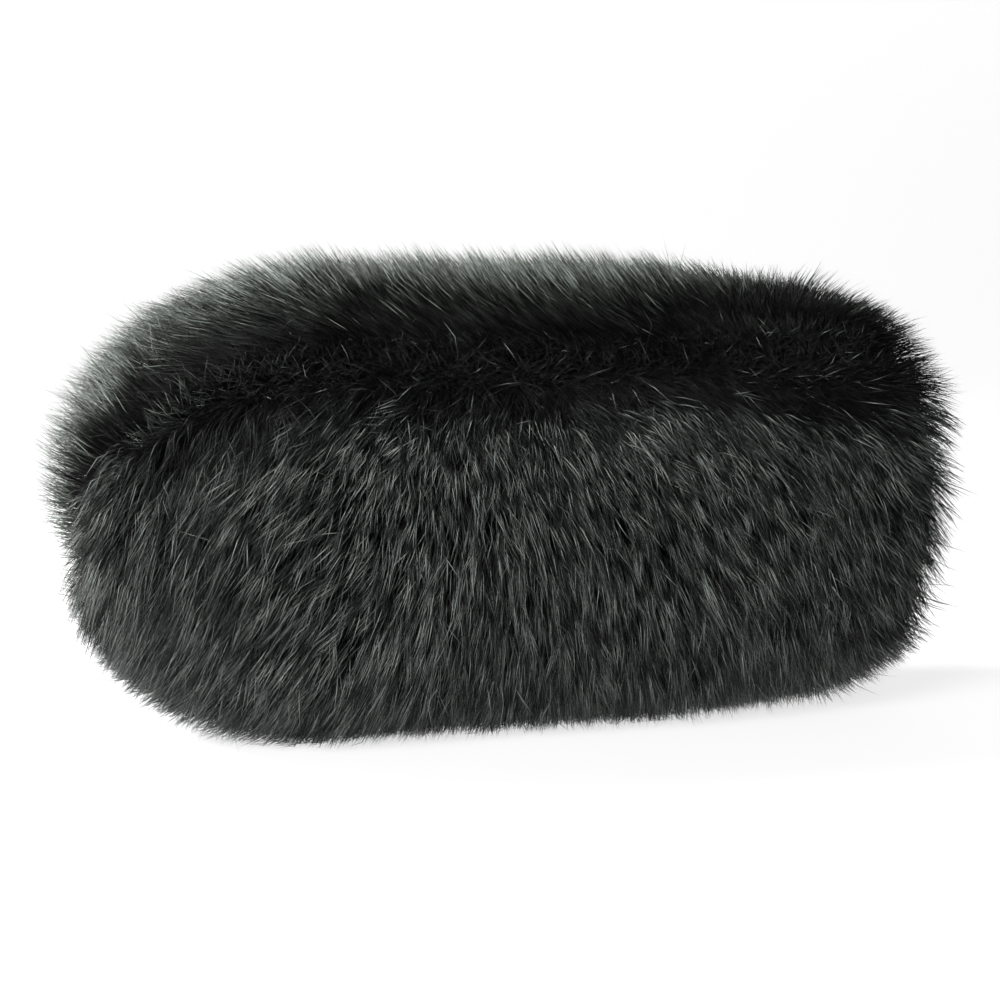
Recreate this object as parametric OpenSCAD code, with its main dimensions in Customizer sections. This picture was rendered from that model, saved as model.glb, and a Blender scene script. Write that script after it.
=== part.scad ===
// Slip-on furry windscreen for a short shotgun microphone.
// The body lies along X: the nose points to -X, and the microphone goes in from +X.
// The origin is the centre of the boot's aperture, on its rear face.
// Each piece is drawn along its own +Z, which is the distance forward from the origin, and along_body()
// then lays it along -X. In that drawing frame, +X is the object's up.

/* [Microphone] */
// Diameter of the aperture for the microphone
mic_d = 19; // [18:0.5:21]
// Length of the rubber collar around the microphone
collar_len = 20; // [16:1:22]
// Thickness of the rubber collar's wall
collar_wall = 3.2; // [2.6:0.2:4]

/* [Cage] */
// Outer radius of the cage and of the base ring
core_r = 37; // [36:0.5:38]
// Distance from the rear face to the centre of the rounded nose
dome_z = 156; // [148:2:164]
// Radial thickness of the cage's ribs and hoops
cage_t = 2.4; // [2:0.2:2.8]
// Number of lengthwise ribs
rib_count = 12; // [10:2:14]
// Width of a rib
rib_w = 2.2; // [1.8:0.2:2.8]
// Width of a hoop
hoop_w = 2.6; // [2:0.2:3.2]
// Number of hoops between the two ends of the barrel
hoop_count = 3; // [2:1:4]

/* [Foam] */
// Thickness of the foam sleeve
foam_t = 6; // [5:0.5:7]
// Length of each foam support ring
support_len = 14; // [10:1:16]

/* [Base] */
// Rear end of the base ring
base_rear_z = 2; // [1:0.5:2.5]
// Front end of the base ring
base_front_z = 18; // [17:1:20]
// Number of clamp screws
screw_count = 4; // [3:1:6]

/* [Cover] */
// Gap between the cage and the cover's backing cloth
cover_gap = 1.6; // [1.5:0.1:2]
// Thickness of the backing cloth
cloth_t = 1.2; // [1:0.1:1.5]
// Roll of the seam plane above the horizontal, at the front
seam_roll = 56; // [30:1:60]
// Width of the seam between the two panels
seam_w = 0.9; // [0.8:0.1:1.2]
// Distance from one stitch to the next
stitch_pitch = 4.6; // [4:0.2:6]

/* [Fur] */
// Radius over the fur at its widest, near the nose
fur_r_front = 61; // [59:0.5:62]
// Radius over the fur at the rear
fur_r_rear = 54; // [52:0.5:56]
// Distance from the rear face to the tips at the nose
fur_nose_z = 222; // [218:1:226]
// How far the fur reaches behind the rear face
fur_tail = 8; // [6:1:10]
// Height of the body's axis above the flattened strip that it lies on
rest_h = 58; // [57:0.5:59]
// Angle at which the fur leans away from the seam, on each side
parting_angle = 10; // [4:1:14]

/* [Hidden] */
$fn = 96;

big = 400;
mic_r = mic_d / 2;
cage_in_r = core_r - cage_t;
slip = 0.2;

// Base, boot and clamp
web_t = 3;
web_rear_z = 8;
spigot_t = 2;
flange_t = 3;
recess_r = 31.6;
boot_r = 31;
boot_open_r = 24;
clamp_t = web_rear_z - flange_t - base_rear_z - 0.3;
clamp_z = base_rear_z + 0.3;
roll_r = 18.4;
roll_tube_r = 3.4;
roll_wall = 1.6;
screw_pcd_r = 27.6;
screw_r = 1.1;
screw_head_r = 2;
screw_head_t = 1.1;
screw_len = 8;

// Cage
barrel_front_z = dome_z - 1;
socket_t = 1.2;
socket_len = 5;
pole_r = 6;
dome_hoop_at = 48;

// Foam
foam_r = cage_in_r - slip;
foam_in_r = foam_r - foam_t;
rear_support_z = 22;
front_support_z = 112;
nose_pocket_r = 13;
nose_pocket_depth = 6;
nose_gap = 0.4;

// Cover
cloth_in_r = core_r + cover_gap;
cloth_r = cloth_in_r + cloth_t;
hem_z = 2.5;
hem_len = 7;
hem_in_r = core_r + 0.45;
hem_out_r = cloth_r - 0.6;
elastic_r = 0.6;
channel_r = 0.75;
cloth_rear_z = hem_z + hem_len + 0.1;
binding_w = 7;
binding_t = 0.5;
thread_r = 0.28;
stitch_len = 2.8;
hem_stitch_count = 60;

// Fur
full_z = dome_z - 70;
widest_z = dome_z - 4;
tail_corner_r = 14;
tail_corner_z = tail_corner_r - fur_tail;
tail_lip_r = cloth_r + 3;
arc_steps = 24;
swell_steps = 12;

// The piece is laid along -X, with the drawing frame's +X up.
module along_body() {
    rotate([0, -90, 0]) children();
}

module ring(r_in, r_out, z0, z1) {
    translate([0, 0, z0]) difference() {
        cylinder(r = r_out, h = z1 - z0);
        translate([0, 0, -1]) cylinder(r = r_in, h = z1 - z0 + 2);
    }
}

// A tube with a closed round end: straight from z0 to the dome's centre, and a half sphere beyond it.
module capsule(r, z0) {
    rotate_extrude() intersection() {
        union() {
            translate([0, z0 - 1]) square([r, dome_z - z0 + 1]);
            translate([0, dome_z]) circle(r = r);
        }
        translate([0, z0]) square([r + 1, big]);
    }
}

module capsule_shell(r_in, r_out, z0) {
    difference() {
        capsule(r_out, z0);
        capsule(r_in, z0 - 1);
    }
}

// Turns the seam plane, which holds the drawing frame's Y axis, to its roll about the body.
module at_seam() {
    rotate([0, 0, seam_roll]) children();
}

// The space on one side of the seam: side is 1 above it and -1 below it. lean opens it like a V
// outside the cloth, where the fur parts.
module beside_seam(side, lean) {
    rise = tan(lean) * (big - cloth_r);
    near = seam_w / 2;
    at_seam() translate([0, 0, -big / 2]) linear_extrude(height = 2 * big)
        scale([side, 1]) polygon([
            [near, -cloth_r], [near, cloth_r], [near + rise, big], [big, big],
            [big, -big], [near + rise, -big]
        ]);
}

// --- Core ---

module base_ring() {
    color("#1b1c1d") along_body() difference() {
        rotate_extrude() polygon([
            [recess_r, base_rear_z], [core_r - 0.8, base_rear_z], [core_r, base_rear_z + 0.8],
            [core_r, base_front_z], [cage_in_r + slip, base_front_z],
            [cage_in_r + slip, web_rear_z + web_t], [boot_open_r, web_rear_z + web_t],
            [boot_open_r, web_rear_z], [recess_r, web_rear_z]
        ]);
        screw_places() translate([0, 0, web_rear_z - 1])
            cylinder(r = screw_r + 0.05, h = web_t + 2, $fn = 24);
    }
}

module screw_places() {
    for (i = [0 : screw_count - 1])
        rotate([0, 0, (i + 0.5) * 360 / screw_count]) translate([screw_pcd_r, 0, 0]) children();
}

module star(count, z0, z1) {
    for (i = [0 : count - 1])
        rotate([0, 0, (i + 0.5) * 360 / count])
            translate([0, -rib_w / 2, z0]) cube([core_r + 1, rib_w, z1 - z0]);
}

module cage_barrel() {
    hoop_from = base_front_z + 0.1;
    step = (barrel_front_z - hoop_from - hoop_w) / (hoop_count + 1);
    color("#232426") along_body() {
        ring(cage_in_r - spigot_t + slip, cage_in_r, web_rear_z + web_t + 0.1, hoop_from + 1);
        intersection() {
            ring(cage_in_r, core_r, hoop_from, barrel_front_z);
            union() {
                star(rib_count, hoop_from - 1, barrel_front_z + 1);
                for (i = [0 : hoop_count + 1])
                    translate([0, 0, hoop_from + i * step]) cylinder(r = core_r + 1, h = hoop_w);
            }
        }
        ring(cage_in_r - spigot_t + slip, cage_in_r + 0.4, hoop_from, hoop_from + hoop_w);
        ring(cage_in_r, cage_in_r + socket_t, barrel_front_z - 0.5, barrel_front_z + socket_len);
    }
}

module cage_nose() {
    nose_z = barrel_front_z + 0.1;
    color("#232426") along_body() difference() {
        intersection() {
            capsule_shell(cage_in_r, core_r, nose_z);
            union() {
                star(rib_count, nose_z - 1, dome_z + core_r + 1);
                translate([0, 0, nose_z - 1]) cylinder(r = core_r + 1, h = socket_len + 3);
                translate([0, 0, dome_z + core_r * sin(dome_hoop_at) - hoop_w / 2])
                    cylinder(r = core_r + 1, h = hoop_w);
                translate([0, 0, dome_z + 1]) cylinder(r = pole_r, h = core_r);
            }
        }
        translate([0, 0, nose_z - 1])
            cylinder(r = cage_in_r + socket_t + 0.1, h = socket_len + 1.2);
    }
}

module foam_sleeve() {
    color("#3a3c3e") along_body() ring(foam_in_r, foam_r, base_front_z + hoop_w + 0.5, dome_z);
}

module foam_nose() {
    color("#3a3c3e") along_body() difference() {
        capsule(foam_r, dome_z + nose_gap);
        translate([0, 0, dome_z]) cylinder(r = nose_pocket_r, h = nose_pocket_depth + nose_gap);
    }
}

module foam_support(z0) {
    color("#444648") along_body() ring(mic_r, foam_in_r - slip, z0, z0 + support_len);
}

module front_foam_support() {
    foam_support(front_support_z);
}

module rear_foam_support() {
    foam_support(rear_support_z);
}

// The boot: a collar for the microphone, a rolled web that lets it float, and a flange in the base.
module rubber_boot() {
    flange_z = web_rear_z - flange_t;
    mid_z = web_rear_z - flange_t / 2;
    color("#141414") along_body() difference() {
        rotate_extrude() difference() {
            union() {
                translate([mic_r, 0]) square([collar_wall, collar_len]);
                translate([mic_r + collar_wall / 2, flange_z]) square([roll_r - mic_r - roll_tube_r, roll_wall]);
                translate([roll_r, flange_z]) circle(r = roll_tube_r, $fn = 48);
                translate([roll_r + roll_tube_r - 1, flange_z]) square([boot_open_r - roll_r - 2, roll_wall]);
                translate([boot_open_r - 1, flange_z]) square([boot_r - boot_open_r + 1, flange_t]);
            }
            translate([roll_r, flange_z]) circle(r = roll_tube_r - roll_wall, $fn = 48);
            translate([roll_r - roll_tube_r - 1, flange_z - 2 * roll_tube_r])
                square([2 * roll_tube_r + 2, 2 * roll_tube_r]);
        }
        screw_places() translate([0, 0, flange_z - 1]) cylinder(r = screw_r + 0.3, h = flange_t + 2, $fn = 24);
    }
}

module boot_clamp_ring() {
    color("#1b1c1d") along_body() difference() {
        ring(boot_open_r, recess_r - slip, clamp_z, clamp_z + clamp_t);
        screw_places() {
            translate([0, 0, clamp_z - 1]) cylinder(r = screw_r + 0.2, h = clamp_t + 2, $fn = 24);
            translate([0, 0, clamp_z - 1]) cylinder(r = screw_head_r + 0.2, h = screw_head_t + 1, $fn = 24);
        }
    }
}

module clamp_screws() {
    color("#8b8d8f") along_body() screw_places() translate([0, 0, clamp_z]) difference() {
        union() {
            cylinder(r = screw_head_r, h = screw_head_t, $fn = 24);
            cylinder(r = screw_r, h = screw_len, $fn = 24);
        }
        for (turn = [0, 90])
            rotate([0, 0, turn]) translate([-1.2, -0.2, -0.1]) cube([2.4, 0.4, 0.7]);
    }
}

// --- Cover ---

module backing(side) {
    color("#2a2b2c") along_body() intersection() {
        capsule_shell(cloth_in_r, cloth_r, cloth_rear_z);
        beside_seam(side, 0);
    }
}

module upper_backing() {
    backing(1);
}

module lower_backing() {
    backing(-1);
}

// The outline over the tips, from the hem round the tail, along the swell to the full width, and over the
// nose.
function fur_outline() = concat(
    [for (i = [0 : arc_steps])
        let (a = -90 + 90 * i / arc_steps)
        [fur_r_rear - tail_corner_r + tail_corner_r * cos(a), tail_corner_z + tail_corner_r * sin(a)]],
    [for (i = [1 : swell_steps])
        let (t = i / swell_steps)
        [fur_r_rear + (fur_r_front - fur_r_rear) * sin(90 * t), tail_corner_z + (full_z - tail_corner_z) * t]],
    [[fur_r_front, widest_z]],
    [for (i = [1 : arc_steps])
        let (a = 90 * i / arc_steps)
        [fur_r_front * cos(a), widest_z + (fur_nose_z - widest_z) * sin(a)]]
);

module pile(side) {
    color("#101111") along_body() intersection() {
        difference() {
            rotate_extrude() polygon(concat([[0, -fur_tail]], fur_outline()));
            capsule(cloth_r + 0.1, hem_z - 0.5);
            translate([0, 0, -fur_tail - 1])
                cylinder(r1 = tail_lip_r + 1, r2 = cloth_r + 0.1, h = fur_tail + 1 + hem_z);
        }
        beside_seam(side, parting_angle);
        translate([-rest_h, -big / 2, -big / 2]) cube([big, big, 2 * big]);
    }
}

module upper_pile() {
    pile(1);
}

module lower_pile() {
    pile(-1);
}

module seam_binding() {
    outer = cloth_in_r - 0.1;
    color("#1c1d1e") along_body() intersection() {
        capsule_shell(outer - binding_t, outer, cloth_rear_z + 1);
        at_seam() translate([-binding_w / 2, -big / 2, 0]) cube([binding_w, big, big]);
    }
}

module stitch() {
    rotate([0, 90, 0]) cylinder(r = thread_r, h = stitch_len, center = true, $fn = 16);
}

// Stitches run along the seam in its own plane: up one side, round the nose and down the other.
module seam_stitches() {
    r = (cloth_in_r + cloth_r) / 2;
    straight = dome_z - cloth_rear_z;
    side_count = floor(straight / stitch_pitch);
    arc_count = floor(PI * r / stitch_pitch);
    color("#0c0c0c") along_body() at_seam() {
        for (side = [-1, 1], i = [0.5 : side_count - 1])
            translate([0, side * r, cloth_rear_z + (i + 0.3) * stitch_pitch])
                rotate([0, 90, 0]) stitch();
        for (i = [0.5 : arc_count])
            translate([0, 0, dome_z]) rotate([i * 180 / arc_count, 0, 0])
                translate([0, r, 0]) rotate([0, 90, 0]) stitch();
    }
}

module hem_tape() {
    color("#1c1d1e") along_body() rotate_extrude() difference() {
        translate([hem_in_r, hem_z]) square([hem_out_r - hem_in_r, hem_len]);
        translate([(hem_in_r + hem_out_r) / 2, hem_z + 2]) circle(r = channel_r, $fn = 32);
    }
}

module hem_elastic() {
    color("#2f3032") along_body() translate([0, 0, hem_z + 2]) rotate_extrude()
        translate([(hem_in_r + hem_out_r) / 2, 0]) circle(r = elastic_r, $fn = 24);
}

module hem_stitches() {
    r = hem_out_r + thread_r + 0.02;
    color("#0c0c0c") along_body() for (i = [0 : hem_stitch_count - 1])
        rotate([0, 0, (i + 0.5) * 360 / hem_stitch_count])
            translate([r, 0, hem_z + hem_len - 1.5]) rotate([0, 0, 90]) stitch();
}

base_ring();
cage_barrel();
cage_nose();
foam_sleeve();
foam_nose();
front_foam_support();
rear_foam_support();
rubber_boot();
boot_clamp_ring();
clamp_screws();
upper_backing();
lower_backing();
upper_pile();
lower_pile();
seam_binding();
seam_stitches();
hem_tape();
hem_elastic();
hem_stitches();
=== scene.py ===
"""A slip-on furry windscreen for a short shotgun microphone, lying on a pale studio floor.

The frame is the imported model: X along the microphone, the nose at -X, +Z up, in metres. The fur is real
strands, grown from the cover's backing cloth and combed away from the seam between its two panels.
"""

import math
from dataclasses import dataclass

import bmesh
import bpy
import numpy as np
from mathutils import Matrix, Vector
from mathutils.kdtree import KDTree


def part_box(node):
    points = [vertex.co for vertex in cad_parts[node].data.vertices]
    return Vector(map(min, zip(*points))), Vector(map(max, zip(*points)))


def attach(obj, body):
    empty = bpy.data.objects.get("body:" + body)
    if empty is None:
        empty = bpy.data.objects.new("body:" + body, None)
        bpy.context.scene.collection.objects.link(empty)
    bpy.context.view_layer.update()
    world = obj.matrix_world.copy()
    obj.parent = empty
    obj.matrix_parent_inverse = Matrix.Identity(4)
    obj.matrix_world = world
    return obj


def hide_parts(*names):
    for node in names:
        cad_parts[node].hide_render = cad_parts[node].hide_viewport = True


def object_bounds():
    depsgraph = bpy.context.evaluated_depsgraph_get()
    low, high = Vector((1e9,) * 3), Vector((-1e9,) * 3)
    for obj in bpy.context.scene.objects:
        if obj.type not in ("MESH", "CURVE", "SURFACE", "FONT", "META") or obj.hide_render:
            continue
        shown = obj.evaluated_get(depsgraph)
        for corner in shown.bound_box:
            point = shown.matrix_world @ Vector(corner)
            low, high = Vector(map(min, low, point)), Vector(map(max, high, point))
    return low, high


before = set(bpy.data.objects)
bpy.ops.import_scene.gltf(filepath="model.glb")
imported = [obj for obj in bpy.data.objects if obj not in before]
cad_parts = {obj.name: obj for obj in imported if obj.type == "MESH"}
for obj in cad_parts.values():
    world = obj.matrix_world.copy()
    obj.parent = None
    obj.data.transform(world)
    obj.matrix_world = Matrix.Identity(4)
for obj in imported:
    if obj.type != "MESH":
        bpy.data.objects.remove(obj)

cad_box = [list(corner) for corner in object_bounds()]
MM = 0.001
TURN = 2 * math.pi


# --- The form, from the frame ---

def joint_box(*nodes):
    """The lowest and highest corners of several CAD nodes together."""
    corners = [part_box(n) for n in nodes]
    return np.min([c[0] for c in corners], axis=0), np.max([c[1] for c in corners], axis=0)


cloth_low, cloth_high = joint_box("upper_backing", "lower_backing")
pile_low, pile_high = joint_box("upper_pile", "lower_pile")
CLOTH_R = float(cloth_high[2])
DOME_X = float(cloth_low[0]) + CLOTH_R
HEM_X = float(cloth_high[0])
NOSE_X = float(pile_low[0])
FLOOR_Z = float(pile_low[2])
SEAM_ROLL = math.asin(-float(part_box("upper_backing")[0][2]) / CLOTH_R)

# Across the body, FRONT points from the axis to the seam on the camera's side, and OVER points square to
# the seam's plane, up and back.
FRONT = np.array([0.0, -math.cos(SEAM_ROLL), math.sin(SEAM_ROLL)])
OVER = np.array([0.0, math.sin(SEAM_ROLL), math.cos(SEAM_ROLL)])

# How high the fur stands over the cloth at the widest, at the rear, at the nose and at the hem itself. The
# loose tips stand LOFT over the solid that stands for the fur.
LOFT = 1 * MM
STAND_WIDEST = float(pile_high[2]) - CLOTH_R + LOFT
STAND_REAR = 0.63 * STAND_WIDEST
STAND_NOSE = float(cloth_low[0]) - NOSE_X + 3 * LOFT
STAND_HEM = 0.36 * STAND_WIDEST
HEM_FALL = 20 * MM
# The share of the barrel, from the hem, over which the fur swells to its widest.
SWELL_SHARE = 0.52


# --- Small helpers ---

def unit(v):
    return v / np.maximum(np.linalg.norm(v, axis=-1, keepdims=True), 1e-9)


def across(v, n):
    """v with its part along the unit normals n taken away."""
    return v - np.sum(v * n, axis=-1, keepdims=True) * n


def mesh_object(name, points, faces, smooth=True):
    """An object with a mesh from an array of points and a list of face arrays, each [n, corners]."""
    mesh = bpy.data.meshes.new(name)
    points = np.asarray(points, np.float32)
    corners = np.concatenate([np.asarray(f, np.int32).ravel() for f in faces])
    sizes = np.concatenate([np.full(len(f), np.asarray(f).shape[1], np.int32) for f in faces])
    mesh.vertices.add(len(points))
    mesh.vertices.foreach_set("co", points.ravel())
    mesh.loops.add(len(corners))
    mesh.loops.foreach_set("vertex_index", corners)
    mesh.polygons.add(len(sizes))
    starts = np.concatenate([[0], np.cumsum(sizes)[:-1]]).astype(np.int32)
    mesh.polygons.foreach_set("loop_start", starts)
    mesh.polygons.foreach_set("use_smooth", np.full(len(sizes), smooth))
    mesh.update(calc_edges=True)
    mesh.validate()
    obj = bpy.data.objects.new(name, mesh)
    bpy.context.scene.collection.objects.link(obj)
    return obj


def finish_piece(obj, body, material, nodes=()):
    obj.data.materials.clear()
    obj.data.materials.append(material)
    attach(obj, body)
    if nodes:
        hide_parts(*nodes)
    return obj


# --- Materials ---

class Nodes:
    """A material's node tree, with short calls for the nodes that the materials here share."""

    def __init__(self, name, roughness, **plain):
        self.material = bpy.data.materials.new(name)
        self.material.use_nodes = True
        self.tree = self.material.node_tree
        self.shader = self.tree.nodes["Principled BSDF"]
        self.shader.inputs["Roughness"].default_value = roughness
        for socket, value in plain.items():
            self.shader.inputs[socket.replace("_", " ")].default_value = value

    def node(self, kind, values=(), **settings):
        made = self.tree.nodes.new(kind)
        for key, value in settings.items():
            setattr(made, key, value)
        for key, value in dict(values).items():
            if isinstance(value, bpy.types.NodeSocket):
                self.tree.links.new(value, made.inputs[key])
            else:
                made.inputs[key].default_value = value
        return made

    def place(self, scale=1.0):
        """The piece's own coordinates, times scale."""
        where = self.node("ShaderNodeTexCoord").outputs["Object"]
        return self.node("ShaderNodeVectorMath", {0: where, "Scale": scale}, operation="SCALE").outputs[0]

    def ramp(self, factor, *stops):
        """A colour ramp through (position, colour) stops."""
        made = self.node("ShaderNodeValToRGB", {"Fac": factor})
        elements = made.color_ramp.elements
        while len(elements) < len(stops):
            elements.new(0.5)
        for element, (position, colour) in zip(elements, stops):
            element.position = position
            element.color = (*colour, 1)
        return made.outputs["Color"]

    def maths(self, operation, a, b=0.0):
        return self.node("ShaderNodeMath", {0: a, 1: b}, operation=operation).outputs[0]

    def multiply(self, a, b):
        """The product of two colours. The mix node's colour sockets are 6 and 7, and its result is 2."""
        made = self.node("ShaderNodeMix", {"Factor": 1.0, 6: a, 7: b}, data_type="RGBA",
                         blend_type="MULTIPLY")
        return made.outputs[2]

    def noise(self, scale, detail=3.0, where=None):
        values = {"Vector": where or self.place(), "Scale": scale, "Detail": detail}
        return self.node("ShaderNodeTexNoise", values).outputs["Fac"]

    def cells(self, scale, where=None, feature="F1"):
        values = {"Vector": where or self.place(), "Scale": scale}
        return self.node("ShaderNodeTexVoronoi", values, feature=feature).outputs["Distance"]

    def waves(self, scale, distortion, bands, **more):
        values = {"Vector": self.place(), "Scale": scale, "Distortion": distortion, **more}
        return self.node("ShaderNodeTexWave", values, bands_direction=bands).outputs["Fac"]

    def colour(self, socket):
        self.tree.links.new(socket, self.shader.inputs["Base Color"])

    def roughness(self, socket):
        self.tree.links.new(socket, self.shader.inputs["Roughness"])

    def bump(self, height, distance, strength=1.0):
        made = self.node("ShaderNodeBump", {"Height": height, "Distance": distance, "Strength": strength})
        self.tree.links.new(made.outputs["Normal"], self.shader.inputs["Normal"])


# A strand's V runs from root to tip, and its U picks one of SHADES columns, from dark strands to pale ones.
SHADES = 64
STRAND_UV = "OFBake"
TINT_PLACES = (0.0, 0.5, 0.8, 1.0)
PALING_SHARE = 0.45


def fur_material(name, root, middle, tip, roughness, dark_share, tints):
    """Hair as dark as its root for dark_share of its length, which then pales through middle to tip: the
    black roots are painted shade for the depth of the pile, and the pale tips are partly painted sheen.
    tints are the brightness of strands at TINT_PLACES, from the darkest to the palest."""
    n = Nodes(name, roughness, Specular_IOR_Level=0.07, Sheen_Weight=0.01, Sheen_Roughness=0.4)
    uv = n.node("ShaderNodeUVMap", uv_map=STRAND_UV).outputs["UV"]
    split = n.node("ShaderNodeSeparateXYZ", {"Vector": uv})
    stops = [(place, (tint, tint * 1.02, tint)) for place, tint in zip(TINT_PLACES, tints)]
    tint = n.ramp(split.outputs["X"], *stops)
    paling = (1 - dark_share) * PALING_SHARE
    # Painted shade and sheen: the roots are black for the shade deep in the pile, and the tips pale partly
    # for the light that catches them.
    along = n.ramp(split.outputs["Y"], (dark_share, root), (dark_share + 0.5 * paling, middle),
                   (dark_share + paling, tip), (1.0, tip))
    n.colour(n.multiply(along, tint))
    return n.material


def moulded_plastic(name, dark, light, grain):
    """Moulded black plastic: a fine spark-eroded texture, faint flow marks and rubbed high spots."""
    n = Nodes(name, 0.5, Specular_IOR_Level=0.45)
    flow = n.noise(22.0, 4.0)
    spark = n.noise(grain, 5.0)
    n.colour(n.ramp(n.maths("ADD", n.maths("MULTIPLY", flow, 0.6), n.maths("MULTIPLY", spark, 0.4)),
                    (0.3, dark), (0.72, light)))
    n.roughness(n.maths("ADD", n.maths("MULTIPLY", spark, 0.3), 0.36))
    n.bump(spark, 0.00012, 0.6)
    return n.material


def boot_rubber():
    """Soft moulded rubber with a dusty bloom in patches and a fine grain."""
    n = Nodes("boot_rubber", 0.6, Specular_IOR_Level=0.4)
    bloom = n.noise(55.0, 6.0)
    grain = n.noise(2600.0, 2.0)
    n.colour(n.ramp(bloom, (0.35, (0.010, 0.010, 0.011)), (0.62, (0.021, 0.021, 0.022)),
                    (0.8, (0.04, 0.04, 0.042))))
    n.roughness(n.maths("ADD", n.maths("MULTIPLY", bloom, 0.35), 0.45))
    n.bump(grain, 0.00006, 0.5)
    return n.material


def open_foam(name, dark, light, cell):
    """Open-cell acoustic foam: dark pores between pale cell walls, in two sizes."""
    n = Nodes(name, 0.95, Sheen_Weight=0.15, Specular_IOR_Level=0.2)
    pores = n.cells(cell)
    fine = n.cells(cell * 2.3)
    depth = n.maths("ADD", pores, n.maths("MULTIPLY", fine, 0.45))
    n.colour(n.ramp(depth, (0.2, light), (0.55, dark), (0.9, tuple(c * 0.25 for c in dark))))
    n.bump(depth, 0.0006, 0.8)
    return n.material


def knit_cloth():
    """The knitted ground cloth of the fur: rows of small loops, and hair roots showing through."""
    n = Nodes("knit_cloth", 0.85, Sheen_Weight=0.3, Sheen_Roughness=0.5)
    rows = n.waves(420.0, 2.2, "X", **{"Detail": 1.0, "Detail Scale": 3.0})
    loops = n.waves(300.0, 3.0, "DIAGONAL", Detail=1.0)
    weave = n.maths("MULTIPLY", n.maths("ADD", rows, loops), 0.5)
    n.colour(n.ramp(weave, (0.15, (0.003, 0.003, 0.003)), (0.6, (0.010, 0.010, 0.011)),
                    (0.95, (0.022, 0.022, 0.023))))
    n.bump(weave, 0.0003, 0.9)
    return n.material


def woven_tape():
    """Flat woven nylon tape: crossed ribs with a soft sheen."""
    n = Nodes("woven_tape", 0.6, Sheen_Weight=0.2)
    warp = n.waves(620.0, 0.6, "X")
    weft = n.waves(380.0, 0.6, "Z")
    ribs = n.maths("MAXIMUM", warp, weft)
    n.colour(n.ramp(ribs, (0.4, (0.006, 0.006, 0.007)), (0.95, (0.026, 0.026, 0.028))))
    n.bump(ribs, 0.00015, 0.7)
    return n.material


def spun_thread(name, dark, light, scale):
    """Twisted yarn: slanted light and dark plies."""
    n = Nodes(name, 0.5, Sheen_Weight=0.2)
    twist = n.waves(scale, 0.4, "DIAGONAL")
    n.colour(n.ramp(twist, (0.2, dark), (0.9, light)))
    n.bump(twist, 0.0001, 0.8)
    return n.material


def turned_steel():
    """Zinc-plated screw steel with faint turning marks."""
    n = Nodes("turned_steel", 0.35, Metallic=1.0)
    marks = n.noise(1500.0, 3.0)
    n.colour(n.ramp(marks, (0.3, (0.33, 0.34, 0.35)), (0.7, (0.55, 0.56, 0.57))))
    n.roughness(n.maths("ADD", n.maths("MULTIPLY", marks, 0.3), 0.2))
    return n.material


# --- The comb: which way the hair lies ---

def outward(p):
    """Unit normals of the capsule through the points p."""
    v = p.copy()
    v[:, 0] = np.minimum(p[:, 0] - DOME_X, 0.0)
    return unit(v)


def waves(p, seed, length, count=6):
    """Smooth random vectors over space, from count waves of about length, each part within about 1."""
    rng = np.random.default_rng(seed)
    ways = unit(rng.normal(size=(count, 3))) * TURN / (length * rng.uniform(0.7, 1.4, (count, 1)))
    phase = rng.uniform(0, TURN, (3, count))
    parts = [np.sin(p @ ways.T + phase[k]).sum(axis=1) for k in range(3)]
    return np.stack(parts, axis=1) / math.sqrt(count)


@dataclass(frozen=True)
class Panel:
    """One of the two panels of fur, and how its nap lies. Across the body the nap runs from the seam in
    front to the seam behind."""

    name: str
    side: int  # 1 over the seam's plane, and -1 under it
    length: float  # of a guard hair
    droop: float  # a hair's rise at its tip, as a share of its rise at its root
    gather: float  # how far the hairs of a tuft meet at its tip
    tuft_sway: float  # how far a tuft strays from the comb
    hair_sway: float  # how far a hair strays from its tuft's way
    hair_shade: float  # how much a tuft's hairs differ in shade
    parting: float  # how far from the seam in front the hair is combed flat
    lean: tuple  # shares of the way from the dome to the hem, and the nap's slope along X at each


UPPER = Panel("upper", 1, length=25 * MM, droop=0.5, gather=0.1, tuft_sway=0.16, hair_sway=0.24,
              hair_shade=0.25, parting=11 * MM, lean=((0.0, 0.6, 0.85, 1.0), (-1.5, -1.1, 0.1, 1.5)))
LOWER = Panel("lower", -1, length=26.5 * MM, droop=0.4, gather=0.45, tuft_sway=0.24, hair_sway=0.12,
              hair_shade=0.15, parting=16 * MM,
              lean=((0.0, 0.15, 0.3, 0.75, 1.0), (-0.65, -0.25, -0.05, 0.45, 1.2)))

# Over the CLOSING shares of the barrel the nap round the body fades by CLOSED, and beside the seam, within
# about SEAM_ANGLE of it, by SEAM_CLOSED more. Over the HANGING shares, hair on the body's sides loses HANG
# of its lean.
CLOSING = (0.85, 1.0)
CLOSED, SEAM_CLOSED, SEAM_ANGLE = 0.15, 0.7, 0.5
HANGING = (0.5, 0.9)
HANG = 0.7

# How much longer hair is at the nose, and how much shorter along the barrel and at the hem.
NOSE_EXTRA, BARREL_TRIM, HEM_TRIM = 0.25, 0.08, 0.2


def share_between(v, start, end):
    """0 before start and 1 after end, with a smooth rise between."""
    t = np.clip((v - start) / (end - start), 0.0, 1.0)
    return t * t * (3 - 2 * t)


def along_barrel(x):
    """0 at the dome and 1 at the hem."""
    return np.clip((x - DOME_X) / (HEM_X - DOME_X), 0.0, 1.0)


def over_dome(x):
    """0 on the barrel, rising to 1 at the nose."""
    return np.clip((DOME_X - x) / CLOTH_R, 0.0, 1.0)


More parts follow.
